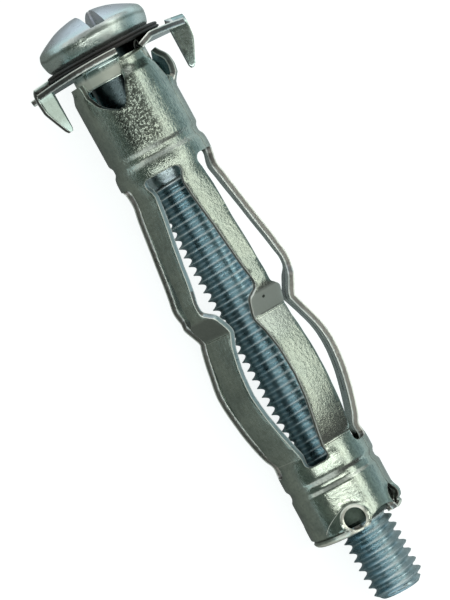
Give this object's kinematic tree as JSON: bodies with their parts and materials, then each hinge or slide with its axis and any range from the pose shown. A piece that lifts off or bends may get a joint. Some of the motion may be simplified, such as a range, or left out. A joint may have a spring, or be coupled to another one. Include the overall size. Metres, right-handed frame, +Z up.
{
  "type": "hollow wall anchor",
  "caption": "Hollow wall anchor: slotted sheet steel sleeve with bowed legs, pronged collar, captive threaded bush, fibre washer and pan head machine screw that draws the legs out.",
  "frame": {"origin": "Middle of the bounding box at the surface that the anchor lies on.", "axes": "+X towards the screw's tip, +Z up, +Y sideways. The anchor's own axis lies in the XZ plane and slopes down towards the tip, because the collar is wider than the legs."},
  "size_m": [0.0461, 0.0125, 0.0126],
  "materials": {
    "zinc_sheet": "pale yellowish zinc plate on sheet steel, fine grain, bright cut edges",
    "zinc_collar": "zinc plated stamping",
    "zinc_bush": "zinc plated turned steel",
    "fibre": "dark vulcanised fibre, matt, with a layered edge",
    "zinc_screw": "bluish bright zinc plate"
  },
  "bodies": {
    "sleeve": {"sleeve": "zinc_sheet", "collar": "zinc_collar", "threaded_bush": "zinc_bush"},
    "washer": {"washer": "fibre"},
    "screw": {"screw": "zinc_screw"}
  },
  "joints": [
    {"name": "screw_out", "type": "slide", "parent": "sleeve", "child": "washer", "axis": [-0.9975, 0, 0.0708], "range_m": [0, 0.0084]},
    {"name": "screw_turn", "type": "hinge", "parent": "washer", "child": "screw", "pos_m": [-0.0197, 0, 0.00631], "axis": [-0.9975, 0, 0.0708], "range_deg": [0, 4321]}
  ],
  "couplings": [
    {"joint": "screw_turn", "follows": "screw_out", "rad_per_m": 8976}
  ]
}
